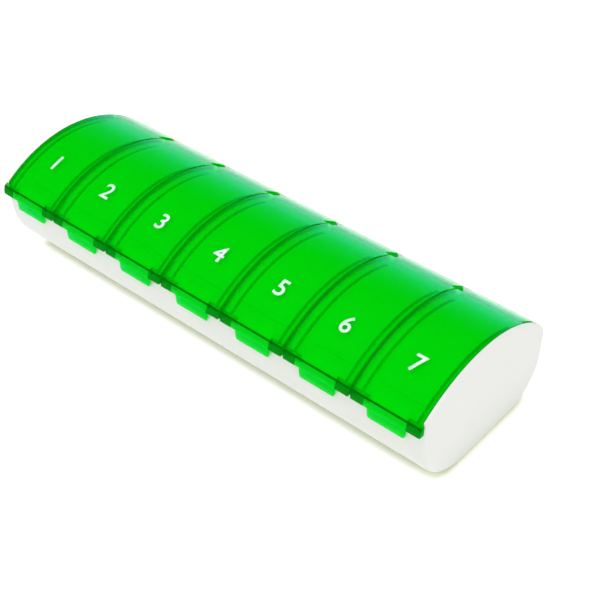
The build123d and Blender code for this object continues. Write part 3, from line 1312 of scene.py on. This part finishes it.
@dataclass
class Lids:
    """Row of alike green lids: curved panel, skirt with thick corners, tab, ribs and knuckle.

    Attributes:
        form: Sizes shared with the tray.
        limits: What tells the faces apart.
        gap: Between two lids.
        edge: Rounding of a lid's sides.
        edge_rings: Rings in that rounding.
        hold: Width of the faces beside the rounding.
        skirt_lean: How far the skirt leans back up to the fold.
        fold_r: Rounding of the fold between panel and skirt.
        fold_run: Turn along the crown to the point that gives the fold its run, in degrees.
        toe_r: Rounding of the skirt's outer lower edge.
        heel_r: Rounding of its inner lower edge.
        knuckle_step: Turn between the points of the knuckle, in degrees.
        corner_r: Rounding of the front corners, seen from above.
        relief_back: How far behind the corner blocks the cut for a catch land reaches.
        relief_low: How far under the skirt it reaches.
        relief_step: Turn between its points, in degrees.
        tab_set: From the edge of the skirts back to the tab.
        tab_top: Width of a tab at the skirt.
        tab_lip: Width of its lip.
        tab_bend: How far the S-curve's handles reach, as a share of its width.
        tab_points: Points of the S-curve.
        tab_root: How far the tab runs up into the skirt.
        tab_edge: Rounding of the tab.
        rib_thick: Thickness of the ribs.
        rib_deep: Depth of the side ribs.
        front_rib_deep: Depth of the front rib.
        front_rib_back: From the tray's front wall back to the front rib.
        rib_in: From a lid's side to its side rib.
        rib_rear: Where the side ribs end.
        rib_root: How far ribs run into what they stand on.
        rib_edge: Rounding of the side ribs' ends.
        notch_fore: From the hinge forward to the end of the rear notch, along the crown arc.
        notch_back: Turn from the hinge back to where its cut ends, in degrees.
        notch_deep: How far its cut reaches under the crown arc.
        notch_over: How far it reaches above.
        notch_wide: Width of its cut.
        bore_gap: Clearance round the pin.
        over: How far cuts reach above the crown.
        same_to: Decimals to which the sides of two lids are compared.
        pieces: The finished lids.
    """

    form: Form
    limits: FaceLimits = FaceLimits()
    gap: float = 0.4 * MM
    edge: float = 0.18 * MM
    edge_rings: int = 3
    hold: float = 0.08 * MM
    skirt_lean: float = 0.7 * MM
    fold_r: float = 0.6 * MM
    fold_run: float = 2.0
    toe_r: float = 0.35 * MM
    heel_r: float = 0.2 * MM
    knuckle_step: float = 6.0
    corner_r: float = 1.0 * MM
    relief_back: float = 0.5 * MM
    relief_low: float = 1.0 * MM
    relief_step: float = 0.5
    tab_set: float = 1.0 * MM
    tab_top: float = 11.6 * MM
    tab_lip: float = 9.4 * MM
    tab_bend: float = 0.75
    tab_points: int = 15
    tab_root: float = 0.9 * MM
    tab_edge: float = 0.22 * MM
    rib_thick: float = 0.9 * MM
    rib_deep: float = 1.0 * MM
    front_rib_deep: float = 0.12 * MM
    front_rib_back: float = 1.1 * MM
    rib_in: float = 1.65 * MM
    rib_rear: float = 11.0 * MM
    rib_root: float = 0.3 * MM
    rib_edge: float = 0.12 * MM
    notch_fore: float = 6.0 * MM
    notch_back: float = 14.0
    notch_deep: float = 7.0 * MM
    notch_over: float = 3.0 * MM
    notch_wide: float = 4.0 * MM
    bore_gap: float = 0.02 * MM
    over: float = 5.0 * MM
    same_to: int = 7
    pieces: list = field(default_factory=list, init=False)

    @property
    def wide(self) -> float:
        """Width of one lid."""
        return self.form.pitch - self.gap

    @property
    def above(self) -> float:
        """Height where cuts end."""
        return self.form.height + self.over

    @property
    def skirt_in(self) -> float:
        """Inner face of the thick skirt corners."""
        return self.form.wall_y + self.form.rim_step - self.form.skirt_gap

    @property
    def tab_in(self) -> float:
        """Inner face of the tab and of the thin skirt in front of a catch land."""
        return self.form.wall_y - self.form.skirt_gap

    def shell(self) -> Moulding:
        """Panel between two arcs, skirt and round knuckle in one section, carried across the lid's width.

        Returns:
            The closed surface at x = 0.
        """
        form = self.form
        fold_y = form.front + self.skirt_lean
        fold_a = form.angle_at(fold_y, form.crown_r)
        fold = (fold_y, form.height_at(fold_y, form.crown_r))
        before = form.ring(form.crown_r, fold_a - self.fold_run)
        toe = (form.front, form.skirt_z)
        heel = (self.skirt_in, form.skirt_z)
        inside = (self.skirt_in, form.height_at(self.skirt_in, form.under_r))
        panel = form.crown(form.crown_r, form.hinge_a, fold_a - 2 * form.free_a)
        lift = form.under_r - (form.crown_r - form.knuckle_r)
        end = 180 - np.degrees(np.arcsin(lift / form.knuckle_r))
        knuckle_a = form.hinge_a - 90 + end - 360
        knuckle = arc(form.hinge, form.knuckle_r, knuckle_a, form.hinge_a, self.knuckle_step)
        start = form.angle_at(knuckle[0][0], form.under_r) + form.free_a
        under = form.crown(form.under_r, form.angle_at(self.skirt_in, form.under_r), start)
        section = outline(
            knuckle,
            panel[1:],
            corner(before, fold, toe, self.fold_r),
            corner(fold, toe, heel, self.toe_r),
            corner(toe, heel, inside, self.heel_r),
            under,
        )
        return Moulding.carried(section, -self.wide / 2, self.wide / 2, self.edge, steps=self.edge_rings)

    def plan(self) -> Moulding:
        """Upright block with the lid's plan, its two front corners rounded.

        Returns:
            The closed surface of what is kept, at x = 0.
        """
        form = self.form
        half = self.wide / 2 + SPARE
        front = form.front - SPARE
        section = outline(
            corner((-half, 0), (-half, front), (0, front), self.corner_r),
            corner((0, front), (half, front), (half, 0), self.corner_r),
            (half, form.rear),
            (-half, form.rear),
        )
        return Moulding.carried(section, 0.0, self.above, way=Way.Z)

    def trims(self, left: float, right: float) -> list[Moulding]:
        """Upright boxes that set the panel of an outer lid back beside the rim, behind the skirt.

        Args:
            left: Left side of the panel.
            right: Right side of the panel.

        Returns:
            The closed surfaces of the cuts, none for an inner lid.
        """
        half = self.wide / 2
        section = box((self.tab_in, 0), (self.form.rear, self.above))
        spans = [(-self.wide, left), (right, self.wide)]
        cut = [left > -half, right < half]
        return [Moulding.carried(section, *span) for span, needed in zip(spans, cut) if needed]

    def relief(self) -> Moulding:
        """Cut behind the middle of the skirt, up to the panel's inner arc, where the catch land stands.

        Returns:
            The closed surface of the cut at x = 0.
        """
        form = self.form
        half = form.land_wide / 2 + form.skirt_gap
        deep = self.skirt_in + self.relief_back
        radius = form.under_r - SPARE
        start, end = form.angle_at(deep, radius), form.angle_at(self.tab_in, radius)
        top = form.crown(radius, start, end, self.relief_step)
        low = form.skirt_z - self.relief_low
        return Moulding.carried(outline(top, (self.tab_in, low), (deep, low)), -half, half)

    def tab(self) -> Moulding:
        """Tab: each side a cubic S-curve from the skirt's edge to the lip, carried through its thickness.

        Returns:
            The closed surface at x = 0.
        """
        form = self.form
        wide = self.tab_top / 2
        slim = self.tab_lip / 2
        bend = self.tab_bend * (wide - slim)
        t = np.linspace(0, 1, self.tab_points)[:, None]
        lip = np.array([(slim, form.tab_z), (slim + bend, form.tab_z)])
        root = np.array([(wide - bend, form.skirt_z), (wide, form.skirt_z)])
        side = (
            (1 - t) ** 3 * lip[0]
            + 3 * t * (1 - t) ** 2 * lip[1]
            + 3 * t**2 * (1 - t) * root[0]
            + t**3 * root[1]
        )
        top = form.skirt_z + self.tab_root
        other = side[::-1] * (-1, 1)
        section = outline(side, (wide, top), (-wide, top), other)
        return Moulding.carried(section, form.front + self.tab_set, self.tab_in, self.tab_edge, way=Way.Y)

    def band(self, first: float, last: float, deep: float) -> Points:
        """Section of a rib: a band between two arcs, rooted in the panel.

        Args:
            first: Where it begins in y.
            last: Where it ends.
            deep: How far it stands out of the panel.

        Returns:
            The closed outline.
        """
        form = self.form
        low = form.under_r - deep
        high = form.under_r + self.rib_root
        return outline(
            form.crown(low, form.angle_at(last, low), form.angle_at(first, low)),
            form.crown(high, form.angle_at(first, high), form.angle_at(last, high)),
        )

    def ribs(self) -> list[Moulding]:
        """Two side ribs and a front rib, bands of the arc under the panel.

        Returns:
            The closed surfaces at x = 0.
        """
        form = self.form
        front = form.wall_y + form.wall + self.front_rib_back
        inner = self.wide / 2 - self.rib_in - self.rib_thick
        along = self.band(self.skirt_in - self.rib_root, self.rib_rear, self.rib_deep)
        side = Moulding.carried(along, inner, inner + self.rib_thick, self.rib_edge)
        pair = side.repeated([0.0, -2 * inner - self.rib_thick])
        across = self.band(front, front + self.rib_thick, self.front_rib_deep)
        return [pair, Moulding.carried(across, -inner - self.rib_root, inner + self.rib_root)]

    def notch(self) -> Moulding:
        """Cut over each divider, behind which only the knuckle's width is left.

        Returns:
            The closed surface of both cuts at x = 0.
        """
        form = self.form
        fore = form.hinge_a + float(np.degrees(self.notch_fore / form.crown_r))
        back = form.hinge_a - self.notch_back
        low = form.crown_r - self.notch_deep
        high = form.crown_r + self.notch_over
        edges = ((low, fore), (low, back), (high, back), (high, fore))
        section = outline(*(form.ring(radius, angle) for radius, angle in edges))
        start = form.knuckle_long / 2
        cut = Moulding.carried(section, start, start + self.notch_wide)
        return cut.repeated([0.0, -2 * start - self.notch_wide])

    def moulded(self, left: float, right: float) -> bpy.types.Object:
        """Make the lid of a well at x = 0.

        Args:
            left: Left side of its panel.
            right: Right side of its panel.

        Returns:
            The finished object, still at x = 0.
        """
        form = self.form
        piece = self.shell().made("lid_moulding")
        work(piece, self.plan(), Join.KEEP)
        for trim in self.trims(left, right):
            work(piece, trim, Join.CUT)
        work(piece, self.relief(), Join.CUT)
        work(piece, self.tab(), Join.ADD)
        for rib in self.ribs():
            work(piece, rib, Join.ADD)
        work(piece, self.notch(), Join.CUT)
        bore = circle(form.hinge, form.pin_r + self.bore_gap)
        work(piece, Moulding.carried(bore, -self.wide, self.wide), Join.CUT)
        inside = self.wide / 2 - self.edge - self.hold
        divided(piece.data, 0, [-inside, -self.tab_top / 2, self.tab_top / 2, inside])
        smoothed(piece.data)
        return piece

    def build(self) -> list[bpy.types.Object]:
        """Make every lid; the two outer ones end at the rims of the tray's end walls.

        Returns:
            The lids in order along X.
        """
        form = self.form
        half = self.wide / 2
        end = form.seat_end - form.end_gap
        models: dict[tuple[float, float], bpy.types.Object] = {}
        for number, x in enumerate(form.centres, start=1):
            sides = (max(-half, round(-end - x, self.same_to)), min(half, round(end - x, self.same_to)))
            if sides not in models:
                models[sides] = self.moulded(*sides)
            mesh = models[sides].data.copy()
            mesh.name = f"lid_moulding_{number}"
            move(mesh, read(mesh.vertices, "co") + (x, 0, 0))
            self.pieces.append(linked(mesh.name, mesh))
        for model in models.values():
            discard(model)
        return self.pieces

    def mark_faces(self, mesh: bpy.types.Mesh, x: float) -> None:
        """Write face attributes for the finish.

        "skin" is 1 on faces that lie on the crown arc or look forward. "deep" is painted shade, high on the
        fold between panel and skirt, on the skirt's corner blocks beside the tab and on the sides of the
        lid.

        Args:
            mesh: The lid's mesh.
            x: Middle of the lid.
        """
        form = self.form
        limits = self.limits
        side, place, level = (read(mesh.polygons, "center") - (x, 0, 0)).T
        normals = read(mesh.polygons, "normal")
        aside, ahead, lean = np.abs(normals[:, 0]), -normals[:, 1], normals[:, 2]
        side = np.abs(side)
        out = np.stack([place, level], axis=1) - form.middle
        reach = np.linalg.norm(out, axis=1)
        rise = np.sum(out * normals[:, 1:], axis=1) / reach

        crown = (reach > form.crown_r - limits.skin_deep) & (rise > limits.skin_rise)
        fore = (place < self.tab_in - limits.fore_clear) & (ahead > limits.fore)
        skin = crown | fore
        upright = fore & (lean <= limits.fold_lean)
        block = upright & (side > self.tab_top / 2)
        near_fold = place < form.front + self.skirt_lean + limits.fold_reach
        across = aside > limits.across
        ends = (place < self.skirt_in + limits.end_reach) & (level > form.skirt_z)
        rib = ~ends & (side < self.wide / 2 - self.rib_in + limits.rib_clear)
        rear = place > form.hinge[0] - self.notch_fore - limits.rear_reach
        rounding = ~across & (aside > limits.rounding) & (reach > form.crown_r - limits.rounding_deep)
        # Painted shade: how dark each zone of faces is painted; the largest value is stored as "deep".
        painted_zones = {
            Zone.FOLD: skin & (lean > limits.fold_lean) & near_fold,
            Zone.BLOCK: block,
            Zone.ROUNDING: rounding & ~rear,
            Zone.SKIRT_END: across & ends,
            Zone.SIDE: across & ~rib & ~rear,
            Zone.REAR_SIDE: across & rear,
            Zone.TAB: upright & ~block,
        }
        deep = np.max([zone.value * faces for zone, faces in painted_zones.items()], axis=0)
        for name, values in (("skin", skin), ("deep", deep)):
            layer = mesh.attributes.new(name, "FLOAT", "FACE")
            layer.data.foreach_set("value", values.astype(np.float32))

    def dress(self, finish: ClearGreen) -> None:
        """Give every lid the finish and tie it to its body.

        Args:
            finish: The green plastic.
        """
        material = finish.material()
        for number, piece in enumerate(self.pieces, start=1):
            self.mark_faces(piece.data, float(self.form.centres[number - 1]))
            coat(piece, material)
            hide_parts(f"lid_{number}")
            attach(piece, f"lid_{number}")


@dataclass
class Numbers:
    """Printed number on each lid, laid on the crown arc.

    Attributes:
        form: Sizes shared with the lids.
        tall: Height of a figure along the arc.
        foot_y: Where the figures stand, in y.
        ink: Thickness of the print.
        widen: Widening of the strokes, as a share of the font's size.
        fineness: Points of each stretch of a figure's outline.
        rows: Rows that a figure is cut into.
        pieces: The finished numbers.
    """

    form: Form
    tall: float = 4.65 * MM
    foot_y: float = -15.9 * MM
    ink: float = 0.05 * MM
    widen: float = 0.01
    fineness: int = 8
    rows: int = 15
    pieces: list = field(default_factory=list, init=False)

    def flat(self, text: str) -> bpy.types.Mesh:
        """Flat figure, cut into narrow rows so that it can bend.

        Args:
            text: The figure.

        Returns:
            The flat mesh, in the font's own units.
        """
        curve = bpy.data.curves.new("figure", "FONT")
        curve.body = text
        curve.align_x = "CENTER"
        curve.resolution_u = self.fineness
        curve.offset = self.widen
        carrier = linked("figure", curve)
        mesh = evaluated(carrier)
        bpy.data.objects.remove(carrier)
        bpy.data.curves.remove(curve)
        heights = read(mesh.vertices, "co")[:, 1]
        divided(mesh, 1, np.linspace(heights.min(), heights.max(), self.rows + 1)[1:-1])
        return mesh

    def build(self) -> list[bpy.types.Object]:
        """Make every number's mesh on its lid.

        A point of the flat figure at height h goes to the arc's angle a = a0 - h / r, so lengths along the
        arc are kept.

        Returns:
            The printed pieces in order.
        """
        form = self.form
        foot = np.radians(form.angle_at(self.foot_y, form.crown_r))
        reach = form.crown_r - SPARE
        for number, x in enumerate(form.centres, start=1):
            mesh = self.flat(str(number))
            mesh.name = f"number_{number}"
            across, high, _ = read(mesh.vertices, "co").T
            high = high - high.min()
            scale = self.tall / high.max()
            middle = (across.min() + across.max()) / 2
            angle = foot - high * scale / form.crown_r
            bent = [
                x + (across - middle) * scale,
                form.middle[0] + reach * np.cos(angle),
                form.middle[1] + reach * np.sin(angle),
            ]
            move(mesh, np.stack(bent, axis=1))
            piece = linked(mesh.name, mesh)
            skin = piece.modifiers.new("ink", "SOLIDIFY")
            skin.thickness = self.ink
            skin.offset = 1.0
            self.pieces.append(piece)
        return self.pieces

    def dress(self, finish: PrintInk) -> None:
        """Give the print its ink and tie each number to its lid.

        Args:
            finish: The ink.
        """
        material = finish.material()
        for number, piece in enumerate(self.pieces, start=1):
            coat(piece, material)
            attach(piece, f"lid_{number}")


@dataclass
class Pins:
    """Hinge pins, which keep the frame's own meshes.

    Attributes:
    """

    frame: dict

    def dress(self, finish: DrawnSteel) -> None:
        """Give every pin its finish.

        Args:
            finish: The steel.
        """
        material = finish.material()
        for name, node in self.frame["nodes"].items():
            if name.startswith("hinge_pin"):
                coat(node, material)


@dataclass(frozen=True)
class Lamp:
    """Square soft lamp that looks at a point and isn't mirrored.

    Attributes:
        name: Name of the lamp.
        place: Where it stands, in metres.
        aim: The point that it faces.
        size: Side of the square.
        power: Power in watts.
    """

    name: str
    place: tuple
    aim: tuple
    size: float
    power: float

    def hang(self) -> None:
        """Add the lamp, its Z axis pointing away from its aim and its X axis level."""
        data = bpy.data.lights.new(self.name, "AREA")
        data.size = self.size
        data.energy = self.power
        away = np.asarray(self.place, float) - np.asarray(self.aim, float)
        away /= np.linalg.norm(away)
        side = np.cross((0, 0, 1), away)
        side /= np.linalg.norm(side)
        holder = placed(self.name, data, [side, np.cross(away, side), away, self.place])
        holder.visible_glossy = False


@dataclass
class Studio:
    """Pale floor, soft lamps and the camera.

    Attributes:
        azimuth: Camera's turn from the front towards +X, in degrees.
        elevation: Camera's height angle, in degrees.
        roll: Camera's turn about the view line, in degrees.
        distance: From the origin's foot on the view line to the camera.
        aside: Picture centre from the origin, to the right and up, in metres.
        focal_px: Focal length in pixels of a picture that is frame_px wide.
        frame_px: Width of that picture.
        sensor: Width of the camera's sensor, in its own millimetres.
        near: Nearest distance that the camera shows.
        ambient: Strength of the surroundings as light.
        mirrored: Their strength in the gloss, at the horizon and overhead.
        dim: Rises, as sines, between which the mirrored strength falls.
        floor_half: Half the side of the paper floor.
        floor_drop: How far the floor lies under the rest face.
        lamps: The lamps.
    """

    azimuth: float = 39.84
    elevation: float = 40.095
    roll: float = 0.896
    distance: float = 325.82 * MM
    aside: tuple = (10.655 * MM, 4.973 * MM)
    focal_px: float = 1242.8
    frame_px: float = 600.0
    sensor: float = 36.0
    near: float = 0.01
    ambient: float = 0.496
    mirrored: tuple = (1.2, 0.096)
    dim: tuple = (0.12, 0.62)
    floor_half: float = 1.2
    floor_drop: float = 0.02 * MM
    lamps: tuple = (
        Lamp("key", (-0.2, -0.58, 0.87), (0, 0, 0.015), 0.7, 4.0),
        Lamp("fill", (0.75, -0.25, 0.55), (0, 0, 0.015), 0.6, 2.4),
        Lamp("top", (0.0, 0.25, 0.9), (0, 0, 0.02), 0.8, 1.6),
    )

    def camera(self) -> None:
        """Place the camera from its two angles, with its picture plane square to the view line."""
        turn, rise, roll = np.radians([self.azimuth, self.elevation, self.roll])
        back = np.array([np.sin(turn) * np.cos(rise), -np.cos(turn) * np.cos(rise), np.sin(rise)])
        level = np.array([np.cos(turn), np.sin(turn), 0.0])
        upright = np.cross(back, level)
        right = np.cos(roll) * level + np.sin(roll) * upright
        up = np.cos(roll) * upright - np.sin(roll) * level
        place = self.aside[0] * right + self.aside[1] * up + self.distance * back
        lens = bpy.data.cameras.new("camera")
        lens.sensor_width = self.sensor
        lens.lens = self.focal_px / self.frame_px * self.sensor
        lens.clip_start = self.near
        bpy.context.scene.camera = placed("camera", lens, [right, up, back, place])

    def surroundings(self) -> None:
        """White surroundings: full white where seen, softer as light, fading overhead in the gloss."""
        world = bpy.data.worlds.new("surroundings")
        bpy.context.scene.world = world
        nodes = Nodes(world, "OutputWorld")
        path = nodes.add("LightPath").outputs
        split = nodes.add("SeparateXYZ", Vector=nodes.add("TexCoord").outputs["Generated"])
        gloss = nodes.ramp(split.outputs["Z"], *self.mirrored, *self.dim)
        lit = nodes.chosen(path["Is Glossy Ray"], self.ambient, gloss)
        seen = nodes.math(Figure.LARGER, path["Is Camera Ray"], path["Is Transmission Ray"])
        nodes.done(nodes.add("Background", Color=(1, 1, 1, 1), Strength=nodes.chosen(seen, lit, 1.0)))

    def floor(self, finish: StudioPaper) -> None:
        """Lay a wide paper floor just under the rest face.

        Args:
            finish: The paper.
        """
        half = self.floor_half
        x, y = np.meshgrid([-half, half], [-half, half])
        points = np.stack([x.ravel(), y.ravel(), np.full(4, -self.floor_drop)], axis=1)
        mesh = bpy.data.meshes.new("paper_floor")
        mesh.from_pydata(points, [], [[0, 1, 3, 2]])
        floor = linked("paper_floor", mesh)
        mesh.materials.append(finish.material())
        floor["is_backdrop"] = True

    def build(self) -> None:
        """Set up floor, surroundings, lamps, camera and colour view."""
        self.floor(StudioPaper())
        self.surroundings()
        for lamp in self.lamps:
            lamp.hang()
        self.camera()
        bpy.context.scene.view_settings.view_transform = "Standard"


def main() -> None:
    """Load the frame, build and dress every piece, and set up the studio."""
    logging.basicConfig(level=logging.INFO, format="%(message)s")
    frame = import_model()
    form = Form.from_frame(frame)

    tray = Tray(form)
    tray.build()
    tray.dress(WhiteMoulding())
    LOG.info("tray: %d faces", len(tray.piece.data.polygons))

    lids = Lids(form)
    lids.build()
    lids.dress(ClearGreen())
    LOG.info("lids: %d, each %d faces", len(lids.pieces), len(lids.pieces[0].data.polygons))

    numbers = Numbers(form)
    numbers.build()
    numbers.dress(PrintInk())
    LOG.info("numbers: %d", len(numbers.pieces))

    Pins(frame).dress(DrawnSteel())
    Studio().build()


if __name__ == "__main__":
    main()
